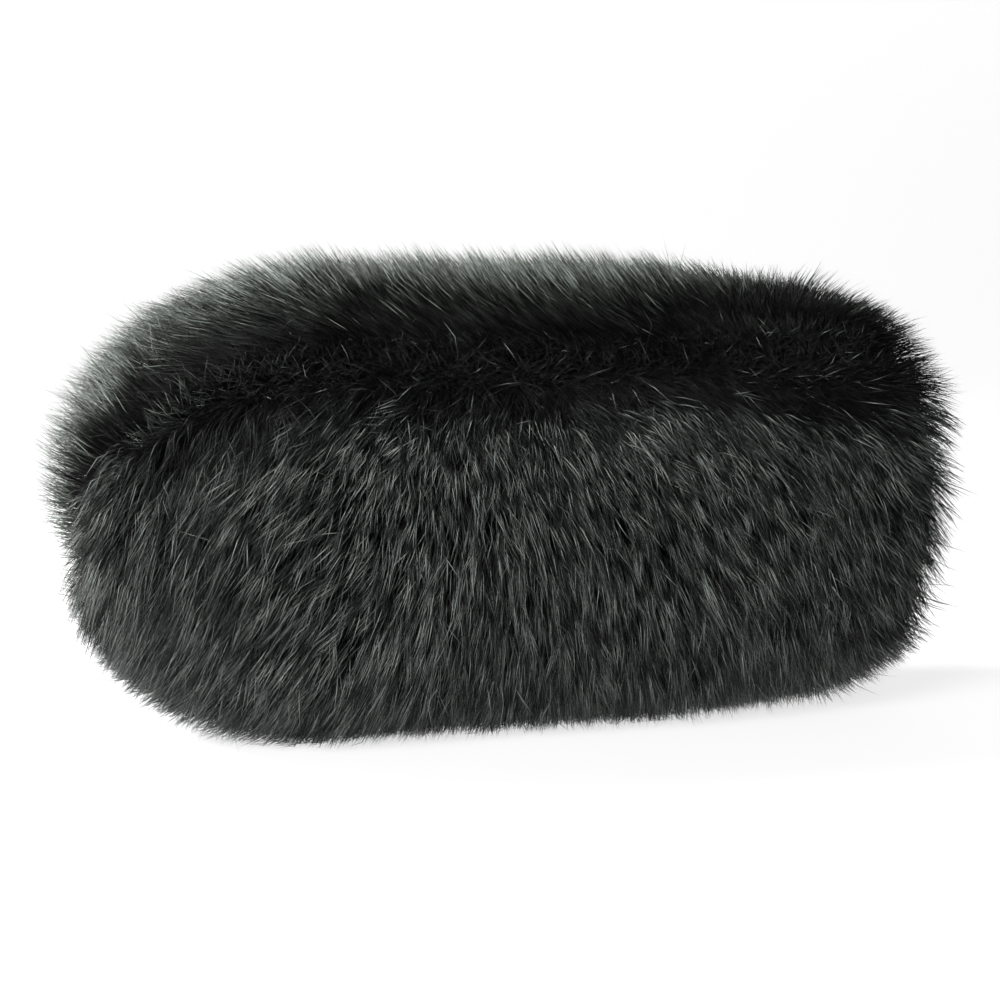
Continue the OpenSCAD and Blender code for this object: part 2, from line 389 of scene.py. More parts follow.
def comb(p, n, panel):
    """Unit tangents that the panel's hair is combed along."""
    off_axis = np.linalg.norm(n[:, 1:], axis=1)
    ring = unit(n * [0, 1, 1])
    angle = np.arctan2(ring @ OVER, ring @ FRONT)
    round_body = -np.sin(angle)[:, None] * FRONT + np.cos(angle)[:, None] * OVER
    way = panel.side * (round_body * off_axis[:, None] + OVER * (1 - off_axis)[:, None])
    # The parting closes at the hem, where the hair beside the seam only points back.
    along = along_barrel(p[:, 0])
    beside_seam = np.exp(-(angle / SEAM_ANGLE) ** 2)
    way *= 1 - ((CLOSED + SEAM_CLOSED * beside_seam) * share_between(along, *CLOSING))[:, None]
    # On the body's sides the hair near the hem hangs down more than it points back.
    hang = 1 - HANG * np.abs(n[:, 1]) * share_between(along, *HANGING)
    way[:, 0] += np.interp(along, *panel.lean) * hang * off_axis ** 3
    return unit(across(way, n))


def stand(x):
    """How high the fur's outline is over the cloth at x."""
    fullness = np.sin(math.pi / 2 * np.clip((1 - along_barrel(x)) / SWELL_SHARE, 0, 1))
    barrel = STAND_REAR + (STAND_WIDEST - STAND_REAR) * fullness
    at_hem = share_between(x, HEM_X - HEM_FALL, HEM_X)
    return barrel + (STAND_NOSE - STAND_WIDEST) * over_dome(x) ** 2 + (STAND_HEM - STAND_REAR) * at_hem


def hair_length(x, length):
    """Hair of about length is a little longer over the nose, and trimmed towards the hem."""
    trimmed = BARREL_TRIM * along_barrel(x) + HEM_TRIM * share_between(x, HEM_X - HEM_FALL, HEM_X)
    return length * (1 + NOSE_EXTRA * over_dome(x) - trimmed)


# --- Growing the hair ---

SEAM_HALF = 0.15 * MM
ROOT_JITTER = 0.3 * MM
GROW_STEPS = 8
# The steps of a low-discrepancy sequence along the body and round it.
STEP_ALONG, STEP_ROUND = 0.7548776662, 0.5698402910
REACH_LEFT = 0.15

RISES = np.linspace(0.05, 1.75, 60)

DRIFT_LENGTH = 40 * MM
DRIFT = 0.1
DRIFT_SEED = 5

# Beside the seam in front the hair is combed flatter by PARTING_FALL, and within PARTING_DARK of the seam
# its colour is darker by PARTING_SHADE, a painted shade for the shadow in the parting's valley. The parting
# fades by NOSE_FADE at the nose.
PARTING_FALL = 0.55
PARTING_SHADE = 0.92
PARTING_DARK = 8 * MM
NOSE_FADE = 0.8

# How much tufts and single hairs differ, as shares, in length and rise.
TUFT_SPREAD = 0.035
LENGTH_SPREAD, RISE_SPREAD = 0.06, 0.04
CURL_TURNS = (0.6, 1.4)
# The share of hairs made pale as a painted highlight, for hairs that catch the light, and their shade.
BRIGHT_SHARE, BRIGHT_SHADE = 0.008, 0.95

# Hair that would reach the floor lies this high over it, and splays sideways.
FLOOR_CLEAR = 0.4 * MM
SPLAY, PILE_UP = 0.6, 0.06


def roots(panel, count, seed, reach=1.0):
    """The panel's share of count points spread evenly over the whole cloth, by a low-discrepancy sequence.
    Those within about reach of the seam's plane are kept, which is less towards the nose."""
    rng = np.random.default_rng(seed)
    i = np.arange(count)
    nose = DOME_X - CLOTH_R
    x = nose + (HEM_X - nose) * ((0.5 + i * STEP_ALONG) % 1.0) + rng.normal(0, ROOT_JITTER, count)
    x = np.clip(x, nose + 1e-6, HEM_X)
    angle = TURN * ((i * STEP_ROUND) % 1.0) + rng.normal(0, ROOT_JITTER, count) / CLOTH_R
    r = np.sqrt(np.maximum(CLOTH_R ** 2 - np.minimum(x - DOME_X, 0.0) ** 2, 0.0))
    p = np.stack([x, r * np.cos(angle), r * np.sin(angle)], axis=1)
    height = panel.side * (p @ OVER)
    return p[(height > SEAM_HALF) & (height < reach * (1 + REACH_LEFT - over_dome(x)))]


def root_rise(share, droop):
    """The angle at which a hair leaves the cloth so that its tip stands share of its length over it."""
    mean_sine = (np.cos(droop * RISES) - np.cos(RISES)) / ((1 - droop) * RISES)
    return np.interp(share, mean_sine, RISES)


def grow(p, panel, droop, length, rise, sway):
    """The hairs' paths, [n, GROW_STEPS + 1, 3]. Each leaves the cloth at the angle rise, which falls to
    droop times that at its tip, and follows the comb, pushed aside by sway."""
    path = [p]
    for k in range(GROW_STEPS):
        n = outward(p)
        t = unit(across(comb(p, n, panel) + sway, n))
        up = rise * (1 - (1 - droop) * (k + 0.5) / GROW_STEPS)
        p = p + (np.cos(up)[:, None] * t + np.sin(up)[:, None] * n) * (length / GROW_STEPS)[:, None]
        path.append(p)
    return np.stack(path, axis=1)


def beside_parting(p, reach):
    """1 at the seam in front, falling towards 0 at reach from it, and fading over the nose."""
    in_front = share_between(p @ FRONT, 5 * MM, 30 * MM)
    return np.exp(-(p @ OVER / reach) ** 2) * in_front * (1 - NOSE_FADE * over_dome(p[:, 0]))


def lie(p, panel, length, droop, stretch, lift, sway):
    """The paths of hairs of about length at p. stretch and lift vary each hair's length and rise."""
    full = hair_length(p[:, 0], length)
    rise = root_rise(stand(p[:, 0]) / full, droop) * lift
    rise *= 1 - PARTING_FALL * beside_parting(p, panel.parting)
    drift = waves(p, DRIFT_SEED, DRIFT_LENGTH) * DRIFT
    return grow(p, panel, droop, full * stretch, rise, sway + drift)


class Tufts:
    """Clump centres. Each has its own shade, and its own sway, length and rise on top of its parent's."""

    def __init__(self, panel, count, seed, sway_size, parent=None):
        rng = np.random.default_rng(seed)
        self.p = roots(panel, count, seed)
        n = len(self.p)
        self.sway = rng.normal(0, sway_size, (n, 3))
        self.stretch = rng.normal(1.0, TUFT_SPREAD, n)
        self.lift = rng.normal(1.0, TUFT_SPREAD, n)
        self.shade = rng.uniform(0, 1, n) ** 1.3
        if parent:
            mine = parent.nearest(self.p)
            self.sway += parent.sway[mine]
            self.stretch *= parent.stretch[mine]
            self.lift *= parent.lift[mine]
        self.tree = KDTree(n)
        for i, place in enumerate(self.p.tolist()):
            self.tree.insert(place, i)
        self.tree.balance()

    def nearest(self, p):
        return np.array([self.tree.find(place)[1] for place in p.tolist()])


def press_on_floor(path):
    """Bends what would reach below the floor out sideways along it."""
    low = FLOOR_Z + FLOOR_CLEAR
    below = np.maximum(low - path[..., 2], 0.0)
    path[..., 1] += np.where(path[..., 1] < 0, -SPLAY, SPLAY) * below
    path[..., 2] = np.where(below > 0, low + below * PILE_UP, path[..., 2])
    return path


def coat(panel, tufts, count, seed, length, droop, sway, gather, curl, reach=1.0):
    """Paths and shades, from 0 to 1, of the panel's hairs. Each follows its tuft, but for its own sway and
    curl, and meets the tuft's tip by the share gather."""
    rng = np.random.default_rng(seed)
    p = roots(panel, count, seed, reach)
    n = len(p)
    near = tufts.nearest(p)
    hair_sway = tufts.sway[near] + rng.normal(0, sway, (n, 3))
    stretch = tufts.stretch[near] * rng.normal(1.0, LENGTH_SPREAD, n)
    lift = tufts.lift[near] * rng.normal(1, RISE_SPREAD, n)
    path = lie(p, panel, length, droop, stretch, lift, hair_sway)
    centre = lie(tufts.p, panel, length, droop, tufts.stretch, tufts.lift, tufts.sway)

    s = np.linspace(0, 1, GROW_STEPS + 1)
    path += (centre[near] - path) * (gather * s ** 1.2)[None, :, None]
    turns = rng.uniform(*CURL_TURNS, (n, 1, 1)) * s[None, :, None] + rng.uniform(0, 1, (n, 1, 1))
    path += rng.normal(0, 1, (n, 1, 3)) * np.sin(TURN * turns) * (curl * s)[None, :, None]
    shade = tufts.shade[near] + rng.normal(0, panel.hair_shade, n)
    # Painted shade: hair beside the seam in front is darkened to stand for the shadow in the parting.
    shade *= 1 - PARTING_SHADE * beside_parting(p, PARTING_DARK)
    # Painted highlight: a few strands are made pale, to stand for hairs that catch the light.
    shade = np.where(rng.uniform(0, 1, n) < BRIGHT_SHARE, BRIGHT_SHADE, shade)
    return press_on_floor(path), np.clip(shade, 0, 0.999)


# --- Strands as meshes ---

SIDES = 3
TAPER = 0.5
MOST_TRIANGLES = 190_000
# Strands differ in thickness by these shares, and pale ones are thicker.
THICKNESS = (0.75, 1.15)
DARK_THICKNESS, PALE_EXTRA = 0.75, 0.45


def strand_triangles(segments):
    """How many triangles a strand has: its walls, its tip and its foot."""
    return SIDES * 2 * (segments - 1) + SIDES + 1


def strand_mesh(name, path, radius, column):
    """Closed tapering prisms along the paths, [n, segments + 1, 3], with the tint column across U."""
    n, rings = path.shape[:2]
    segments = rings - 1
    tangent = unit(np.gradient(path, axis=1))
    seed_side = unit(np.cross(tangent[:, 0], outward(path[:, 0]) + 0.01))
    side = unit(across(np.repeat(seed_side[:, None], rings, axis=1), tangent))
    other = np.cross(tangent, side)
    s = np.arange(segments) / segments
    taper = 1 - TAPER * s ** 2
    angle = TURN * np.arange(SIDES) / SIDES
    ring = (side[:, :segments, None] * np.cos(angle)[None, None, :, None]
            + other[:, :segments, None] * np.sin(angle)[None, None, :, None])
    body = path[:, :segments, None] + ring * (radius[:, None] * taper)[..., None, None]
    per = SIDES * segments + 1
    points = np.concatenate([body.reshape(n, -1, 3), path[:, -1:]], axis=1).reshape(-1, 3)
    base = (np.arange(n) * per)[:, None, None]

    j = np.arange(SIDES)
    k = (np.arange(segments - 1) * SIDES)[:, None]
    wall = np.stack([k + j, k + (j + 1) % SIDES, k + SIDES + (j + 1) % SIDES, k + SIDES + j], axis=-1)
    walls = (base + wall.reshape(1, -1, 4)).reshape(-1, 4)
    last = SIDES * (segments - 1)
    cap = np.stack([last + j, last + (j + 1) % SIDES, np.full(SIDES, SIDES * segments)], axis=-1)
    caps = (base + cap.reshape(1, -1, 3)).reshape(-1, 3)
    foot = (base + j[::-1].reshape(1, 1, 3)).reshape(-1, 3)
    obj = mesh_object(name, points, [walls, caps, foot])

    point_u = np.append(np.tile(np.linspace(0.15, 0.85, SIDES), segments), 0.5)
    point_v = np.append(np.repeat(np.arange(segments) / segments, SIDES), 1.0)
    u = (column[:, None] + point_u) / SHADES
    uv = np.stack([u, np.broadcast_to(point_v, u.shape)], axis=-1).reshape(-1, 2)
    corners = np.concatenate([walls.ravel(), caps.ravel(), foot.ravel()])
    layer = obj.data.uv_layers.new(name=STRAND_UV)
    layer.data.foreach_set("uv", uv[corners].astype(np.float32).ravel())
    return obj


def fur_pieces(panel, name, path, shade, radius, segments, seed, material):
    """The panel's strands as meshes, in stretches along the body that each stay under MOST_TRIANGLES."""
    rng = np.random.default_rng(seed)
    keep = np.linspace(0, GROW_STEPS, segments + 1).round().astype(int)
    path = path[:, keep]
    column = np.floor(shade * SHADES)
    radius = radius * rng.uniform(*THICKNESS, len(path)) * (DARK_THICKNESS + PALE_EXTRA * shade)
    order = np.argsort(path[:, 0, 0], kind="stable")
    count = math.ceil(len(path) * strand_triangles(segments) / MOST_TRIANGLES)
    made = []
    for i, part in enumerate(np.array_split(order, count)):
        obj = strand_mesh(f"{panel.name}_{name}_{i + 1}", path[part], radius[part], column[part])
        finish_piece(obj, "cover", material, [f"{panel.name}_pile"])
        made.append(obj)
    return made


# --- The fur ---

# How many of each there are over the whole cloth, before the panels share them out.
LOCK_COUNT, TUFT_COUNT = 1_600, 42_000
GUARD_COUNT, UNDER_COUNT, STRAY_COUNT = 140_000, 60_000, 3_000
LOOSE_COUNT = 130_000
LOOSE_REACH = 7 * MM
LOCK_SWAY = 0.06

# BLACK is the roots' colour, painted shade for the depth of the pile.
BLACK = (0.001, 0.001, 0.001)
STREAKED = (0.05, 0.28, 1.1, 2.6)
SOFT = (0.04, 0.3, 0.9, 1.8)


def grow_fur(panel, guard_fur, under_fur):
    """The panel's guard hair, its shorter under fur, loose short hair by the seam, and a few strays."""
    length = panel.length
    locks = Tufts(panel, LOCK_COUNT, 11, LOCK_SWAY)
    tufts = Tufts(panel, TUFT_COUNT, 12, panel.tuft_sway, parent=locks)
    guard = coat(panel, tufts, GUARD_COUNT, seed=21, length=length, droop=panel.droop,
                 sway=panel.hair_sway, gather=panel.gather, curl=0.4 * MM)
    under = coat(panel, tufts, UNDER_COUNT, seed=22, length=0.7 * length, droop=0.5,
                 sway=0.2, gather=0.3, curl=0.4 * MM)
    loose = coat(panel, tufts, LOOSE_COUNT, seed=24, length=0.5 * length, droop=0.7,
                 sway=1.5, gather=0, curl=1.0 * MM, reach=LOOSE_REACH)
    stray = coat(panel, tufts, STRAY_COUNT, seed=23, length=1.03 * length, droop=0.4,
                 sway=0.6, gather=0.1, curl=1.0 * MM)
    return (fur_pieces(panel, "guard_hair", *guard, 0.135 * MM, segments=4, seed=31, material=guard_fur)
            + fur_pieces(panel, "under_fur", *under, 0.13 * MM, segments=2, seed=32, material=under_fur)
            + fur_pieces(panel, "parting_hair", *loose, 0.12 * MM, segments=4, seed=34, material=guard_fur)
            + fur_pieces(panel, "stray_hair", *stray, 0.11 * MM, segments=4, seed=33, material=guard_fur))


# The upper panel's tips are paler and greener than the lower panel's, a painted sheen for the light that
# grazes the crown.
upper_fur = fur_material("upper_fur", BLACK, (0.006, 0.007, 0.006), (0.082, 0.092, 0.083),
                         roughness=0.4, dark_share=0.6, tints=SOFT)
lower_fur = fur_material("lower_fur", BLACK, (0.008, 0.009, 0.008), (0.072, 0.077, 0.074),
                         roughness=0.36, dark_share=0.57, tints=STREAKED)
inner_fur = fur_material("under_fur", BLACK, (0.002, 0.002, 0.002), (0.004, 0.004, 0.004),
                         roughness=0.6, dark_share=0.5, tints=SOFT)
fur = {UPPER: grow_fur(UPPER, upper_fur, inner_fur), LOWER: grow_fur(LOWER, lower_fur, inner_fur)}


# --- The pieces under the fur ---

def core_ring(angle):
    """Directions across the body at angles from up, as the cage's ribs are spaced."""
    return np.stack([np.zeros_like(angle), np.sin(angle), np.cos(angle)], axis=-1)


def seam_ring(angle):
    """Directions across the body at angles from the seam in front."""
    return np.cos(angle)[..., None] * FRONT + np.sin(angle)[..., None] * OVER


def grid_object(name, points, round_u, round_v):
    """A mesh of quads over points, [u, v, 3], which closes on itself along u or v where asked."""
    nu, nv = points.shape[:2]
    i = np.arange(nu if round_u else nu - 1)[:, None]
    j = np.arange(nv if round_v else nv - 1)[None, :]
    i2, j2 = (i + 1) % nu, (j + 1) % nv
    quads = np.stack([i * nv + j, i * nv + j2, i2 * nv + j2, i2 * nv + j], axis=-1).reshape(-1, 4)
    obj = mesh_object(name, points.reshape(-1, 3), [quads])
    return tidy_mesh(obj)


def tidy_mesh(obj):
    """Merges doubled points, drops empty faces and turns every face outward."""
    mesh = bmesh.new()
    mesh.from_mesh(obj.data)
    bmesh.ops.remove_doubles(mesh, verts=mesh.verts, dist=1e-6)
    bmesh.ops.recalc_face_normals(mesh, faces=mesh.faces)
    mesh.to_mesh(obj.data)
    mesh.free()
    return obj


def resample(corners, step, closed=True):
    """Points about step apart along the straight sides through corners."""
    corners = np.asarray(corners, float)
    ends = np.roll(corners, -1, axis=0) if closed else corners[1:]
    sides = []
    for start, end in zip(corners, ends):
        count = max(int(round(np.linalg.norm(end - start) / step)), 1)
        sides.append(start + (end - start) * (np.arange(count) / count)[:, None])
    if not closed:
        sides.append(corners[-1:])
    return np.concatenate(sides)


def rounded_box(x0, x1, r0, r1, corner, steps=4):
    """The corners of a section, as (x, radius) points, with its four corners rounded."""
    points = []
    for centre_x, centre_r, start in ((x1 - corner, r1 - corner, 0), (x0 + corner, r1 - corner, 1),
                                      (x0 + corner, r0 + corner, 2), (x1 - corner, r0 + corner, 3)):
        for k in range(steps + 1):
            a = math.pi / 2 * (start + k / steps)
            points.append((centre_x + corner * math.cos(a), centre_r + corner * math.sin(a)))
    return points


def turned(name, section, count, relief=None, closed=True):
    """A solid of revolution about X through (x, radius) points. relief(x, r, angle) moves it outward."""
    angle = TURN * np.arange(count) / count
    x, r = section[:, 0][:, None], section[:, 1][:, None]
    radius = np.broadcast_to(r, (len(section), count))
    if relief:
        radius = radius + relief(x, r, angle[None, :])
    points = core_ring(angle)[None] * radius[..., None]
    points[..., 0] = x
    return grid_object(name, points, closed, True)


# The cage's ribs, and its hoops along the barrel and, as angles of rise, over the nose.
RIBS = 12
HOOP_SPACING = 33.6 * MM
FIRST_HOOP = -18.1 * MM
NOSE_WINDOWS = ((0.24, 0.82), (0.9, 1.36))

# The foam swells by PILLOW into the cage's windows, and its surface is broken by pores.
PILLOW = 0.9 * MM
PORE = 0.14 * MM
FOAM_STEP = 1.3 * MM
FOAM_COLUMNS = 180
MIC_R = 9.5 * MM

sleeve_low, sleeve_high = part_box("foam_sleeve")
nose_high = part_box("foam_nose")[1]
FOAM_R = float(sleeve_high[2])
FOAM_T = 6 * MM


def between_ribs(angle):
    """1 in the middle of the cage's windows and 0 behind its ribs."""
    return np.clip((np.cos(RIBS * angle) + 0.75) / 1.75, 0, 1)


def pores(shape, seed):
    """How far the surface sinks at each of its points."""
    return -PORE * np.random.default_rng(seed).uniform(0, 1, shape)


def sleeve_relief(x, r, angle):
    between_hoops = np.clip(1.6 * np.abs(np.sin(math.pi * (x - FIRST_HOOP) / HOOP_SPACING)) - 0.25, 0, 1)
    outside = r > FOAM_R - 1 * MM
    swell = PILLOW * between_ribs(angle) * between_hoops * outside
    return swell + np.where(outside, 1, -1) * pores(np.broadcast(x, angle).shape, 41)


def foam_sleeve():
    """The lining of the barrel. It swells a little into the cage's windows."""
    section = rounded_box(sleeve_low[0], sleeve_high[0], FOAM_R - FOAM_T, FOAM_R, 0.8 * MM)
    obj = turned("foam_lining", resample(section, FOAM_STEP), FOAM_COLUMNS, sleeve_relief)
    return finish_piece(obj, "core", lining_foam, ["foam_sleeve"])


def nose_relief(x, r, angle):
    rise = np.arcsin(np.clip((nose_high[0] - x) / FOAM_R, 0, 1))
    on_dome = np.clip((np.hypot(nose_high[0] - x, r) / FOAM_R - 0.97) / 0.02, 0, 1)
    swell = sum(np.sin(math.pi * np.clip((rise - low) / (high - low), 0, 1)) for low, high in NOSE_WINDOWS)
    pitted = pores(np.broadcast(x, angle).shape, 42)
    return on_dome * (PILLOW * between_ribs(angle) * swell + pitted)


def foam_nose():
    """The plug in the cage's dome, with a pocket where the air in front of the microphone is."""
    face, pocket_r, pocket, worn = nose_high[0], 13 * MM, 6 * MM, 0.6 * MM
    flat = [(face - pocket, 0.0), (face - pocket, pocket_r - worn), (face - pocket + worn, pocket_r),
            (face - worn, pocket_r), (face, pocket_r + worn), (face, FOAM_R - 0.7 * MM)]
    arc = [(face - FOAM_R * math.sin(a), FOAM_R * math.cos(a)) for a in np.linspace(0.02, math.pi / 2, 46)]
    section = resample(flat + arc, FOAM_STEP, closed=False)
    obj = turned("foam_dome", section, FOAM_COLUMNS, nose_relief, closed=False)
    return finish_piece(obj, "core", lining_foam, ["foam_nose"])


def foam_support(node):
    """A ring that holds the microphone: its faces dish slightly and its rims are worn round."""
    low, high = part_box(node)
    bore, rim = MIC_R, float(high[2])
    section = resample(rounded_box(low[0], high[0], bore, rim, 1.6 * MM), 1.1 * MM)
    middle_x, half = (low[0] + high[0]) / 2, (high[0] - low[0]) / 2
    across_face = np.clip((section[:, 1] - bore) / (rim - bore), 0, 1)
    dish = 0.5 * MM * np.sin(math.pi * across_face) * np.sign(section[:, 0] - middle_x)
    section[:, 0] -= dish * (np.abs(section[:, 0] - middle_x) > 0.9 * half)

    def relief(x, r, angle):
        return pores(np.broadcast(x, angle).shape, 43) * np.where(r > (bore + rim) / 2, 1, -1)

    obj = turned(node.replace("_support", "_ring"), section, 120, relief)
    return finish_piece(obj, "core", support_foam, [node])


CLOTH_T = 1.2 * MM
SEAM_GAP = 0.45 * MM
STITCH_PITCH = 4.6 * MM
HEM_STITCHES = 60
# Stitches pull the cloth in by about this much, over these distances from the seam and from the hem.
PUCKER = 0.1 * MM
SEAM_PUCKER, HEM_PUCKER = 3 * MM, 4 * MM
BINDING_R = 38.25 * MM
BINDING_W = 7 * MM
TAPE_HALF = 0.12 * MM
HEM_INNER_R = 37.57 * MM


def shell_object(name, outer, inner):
    """A closed thin shell between two grids of points, [u, v, 3]."""
    nu, nv = outer.shape[:2]
    index = np.arange(nu * nv).reshape(nu, nv)
    quads = np.stack([index[:-1, :-1], index[:-1, 1:], index[1:, 1:], index[1:, :-1]], axis=-1)
    quads = quads.reshape(-1, 4)
    rim = np.concatenate([index[0], index[1:, -1], index[-1, -2::-1], index[-2:0:-1, 0]])
    onward = np.roll(rim, -1)
    edge = np.stack([rim, onward, onward + nu * nv, rim + nu * nv], axis=-1)
    points = np.concatenate([outer.reshape(-1, 3), inner.reshape(-1, 3)])
    return tidy_mesh(mesh_object(name, points, [quads, quads[:, ::-1] + nu * nv, edge]))


def cloth_face(panel, radius):
    """A grid over one side of a panel's cloth, with small puckers along its seam and its hem. Rows run from
    the hem to the pole, and columns from the seam in front to the seam behind."""
    tilt = np.linspace(0, math.pi / 2, 42)[1:]
    barrel = np.linspace(HEM_X, DOME_X, 110)
    x = np.concatenate([barrel, DOME_X - radius * np.sin(tilt)])
    r = np.concatenate([np.full(len(barrel), radius), radius * np.cos(tilt)])
    reach = np.maximum(r, SEAM_GAP)
    start = np.arcsin(SEAM_GAP / reach)[:, None]
    share = np.linspace(0, 1, 97)[None, :]
    angle = start + (math.pi - 2 * start) * share
    from_seam = r[:, None] * math.pi * np.minimum(share, 1 - share)
    pucker = np.exp(-from_seam / SEAM_PUCKER) * np.cos(TURN * x / STITCH_PITCH)[:, None]
    pucker = pucker + np.exp(-(HEM_X - x) / HEM_PUCKER)[:, None] * np.cos(HEM_STITCHES * angle)
    ring = reach[:, None] + PUCKER * (pucker - 1) * (r / radius)[:, None]
    points = seam_ring(panel.side * angle) * ring[..., None]
    points[..., 0] = x[:, None]
    return points


def backing_cloth(panel, trimmings):
    """The knitted cloth that the panel's fur grows from. Its flat size is half the capsule's way round by
    the way from the hem to the nose."""
    inside = CLOTH_R - CLOTH_T + 3 * PUCKER
    obj = shell_object(f"{panel.name}_cloth", cloth_face(panel, CLOTH_R), cloth_face(panel, inside))
    return finish_piece(obj, "cover", cloth, [f"{panel.name}_backing"])


def along_seam(radius, step, margin=0.0):
    """Points step apart along the U of the seam, at radius, with their outward and onward directions."""
    straight = HEM_X - margin - DOME_X
    length = 2 * straight + math.pi * radius
    s = np.arange(step / 2, length, step)[:, None]
    forward = np.array([-1.0, 0.0, 0.0])
    turn = np.clip((s - straight) / radius, 0, math.pi)
    out = np.cos(turn) * FRONT + np.sin(turn) * forward
    onward = np.cos(turn) * forward - np.sin(turn) * FRONT
    past = np.maximum(s - straight - math.pi * radius, 0)
    x = np.where(turn < math.pi, np.maximum(HEM_X - margin - s, DOME_X), DOME_X + past)
    return out * radius + x * [1, 0, 0], out, onward


def seam_binding():
    """The tape over the raw seam edges, with both its edges folded under and a pucker at each stitch."""
    step = 1.1 * MM
    p, out, _ = along_seam(BINDING_R, step, margin=1 * MM)
    w = np.linspace(-BINDING_W / 2, BINDING_W / 2, 23)[None, :, None]
    fold = share_between(np.abs(w), 2.0 * MM, 2.5 * MM)
    half = TAPE_HALF + 0.08 * MM * fold
    beat = np.cos(TURN * np.arange(len(p)) * step / STITCH_PITCH)[:, None, None]
    ripple = 0.04 * MM * beat * (1 - fold)
    middle = p[:, None] + w * OVER + out[:, None] * (ripple - w ** 2 / (2 * BINDING_R))
    obj = shell_object("seam_tape", middle + out[:, None] * half, middle - out[:, None] * half)
    return finish_piece(obj, "cover", tape, ["seam_binding"])


def hem_tape():
    """The tape channel: folded at the rear around the elastic, and gathered by it."""
    low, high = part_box("hem_tape")
    outer_r, inner_r, steps = high[2] - TAPE_HALF, HEM_INNER_R, 13
    fold_r = (outer_r - inner_r) / 2
    fold_x = high[0] - TAPE_HALF - fold_r
    turns = np.linspace(0, math.pi, steps)
    fold = [(fold_x + (fold_r + o) * math.sin(a), (outer_r + inner_r) / 2 + (fold_r + o) * math.cos(a))
            for o, way in ((TAPE_HALF, 1), (-TAPE_HALF, -1)) for a in turns[::way]]
    front = low[0] + 0.1 * MM
    section = ([(front, outer_r + TAPE_HALF)] + fold[:steps] + [(front, inner_r - TAPE_HALF)]
               + [(front, inner_r + TAPE_HALF)] + fold[steps:] + [(front, outer_r - TAPE_HALF)])

    def relief(x, r, angle):
        outside = share_between(r, 38.2 * MM, 38.8 * MM)
        return -PUCKER * outside * (0.5 + 0.5 * np.cos(HEM_STITCHES * angle + 200 * x / fold_r * MM))

    obj = turned("hem_channel", resample(section, 0.5 * MM), 300, relief)
    return finish_piece(obj, "cover", tape, ["hem_tape"])


def hem_elastic():
    """The round braided elastic in the channel."""
    low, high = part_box("hem_elastic")
    half = (high[0] - low[0]) / 2
    centre_x, centre_r = low[0] + half, high[2] - half
    around = TURN * np.arange(20) / 20
    section = np.stack([centre_x + half * np.cos(around), centre_r + half * np.sin(around)], axis=1)

    def relief(x, r, angle):
        turn = np.arctan2(r - centre_r, x - centre_x)
        return -0.05 * MM * (0.5 + 0.5 * np.sin(150 * angle + 3 * turn)) * np.sign(r - centre_r)

    obj = turned("hem_elastic_cord", section, 900, relief)
    return finish_piece(obj, "cover", elastic, ["hem_elastic"])


def thread_object(name, paths, radius):
    """Two-ply threads along the paths, [n, m, 3], as closed tubes with rounded ends."""
    n, m = paths.shape[:2]
    sides = 8
    tangent = unit(np.gradient(paths, axis=1))
    side = unit(np.cross(tangent, outward(paths.reshape(-1, 3)).reshape(paths.shape)))
    other = np.cross(tangent, side)
    a = TURN * np.arange(sides) / sides
    s = np.linspace(0, 1, m)
    end = np.sqrt(np.clip(1 - np.abs(2 * s - 1) ** 8, 0.02, 1))
    ply = 1 + 0.2 * np.cos(2 * (a[None, :] - 9 * s[:, None]))
    r = radius * end[:, None] * ply / 1.2
    ring = side[:, :, None] * np.cos(a)[:, None] + other[:, :, None] * np.sin(a)[:, None]
    points = paths[:, :, None] + ring * r[None, :, :, None]
    base = (np.arange(n) * m * sides)[:, None, None]
    j, k = np.arange(sides)[None, :], (np.arange(m - 1) * sides)[:, None]
    after = (j + 1) % sides
    wall = np.stack([k + j, k + after, k + sides + after, k + sides + j], axis=-1).reshape(1, -1, 4)
    ends = np.stack([np.arange(sides)[::-1], (m - 1) * sides + np.arange(sides)])
    walls, caps = (base + wall).reshape(-1, 4), (base + ends).reshape(-1, sides)
    return mesh_object(name, points.reshape(-1, 3), [walls, caps])


def seam_stitches():
    """Slanted stitches that cross the seam, one at each pitch along its U."""
    p, out, onward = along_seam(CLOTH_R - CLOTH_T / 2, STITCH_PITCH, margin=1 * MM)
    w = np.linspace(-1, 1, 14)[None, :, None]
    paths = (p[:, None] + w * (1.4 * MM * OVER + 0.5 * MM * onward[:, None])
             + out[:, None] * 0.25 * MM * (1 - w ** 2))
    obj = thread_object("seam_thread", paths, 0.28 * MM)
    return finish_piece(obj, "cover", thread, ["seam_stitches"])


def hem_stitches():
    """A zigzag of stitches round the hem tape."""
    low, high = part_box("hem_stitches")
    angle = TURN * (np.arange(HEM_STITCHES)[:, None] + 0.5) / HEM_STITCHES
    w = np.linspace(-1, 1, 14)[None, :]
    turn = angle + w * 1.5 * MM / high[2]
    slant = np.where(np.arange(HEM_STITCHES) % 2, 0.7, -0.7)[:, None] * MM
    paths = core_ring(turn) * (high[2] - 0.3 * MM - 0.3 * MM * w ** 4)[..., None]
    paths[..., 0] = (low[0] + high[0]) / 2 + slant * w
    obj = thread_object("hem_thread", paths, 0.26 * MM)
    return finish_piece(obj, "cover", thread, ["hem_stitches"])


lining_foam = open_foam("lining_foam", (0.018, 0.019, 0.020), (0.055, 0.057, 0.060), 620.0)
support_foam = open_foam("support_foam", (0.024, 0.025, 0.027), (0.075, 0.078, 0.082), 480.0)
cloth = knit_cloth()
tape = woven_tape()
thread = spun_thread("sewing_thread", (0.006, 0.006, 0.006), (0.03, 0.03, 0.031), 900.0)
elastic = spun_thread("elastic_braid", (0.012, 0.012, 0.013), (0.06, 0.06, 0.062), 700.0)

foam_sleeve()
foam_nose()
foam_support("front_foam_support")
foam_support("rear_foam_support")
backing_cloth(UPPER, [seam_binding(), seam_stitches()])
backing_cloth(LOWER, [hem_stitches()])
hem_tape()
hem_elastic()

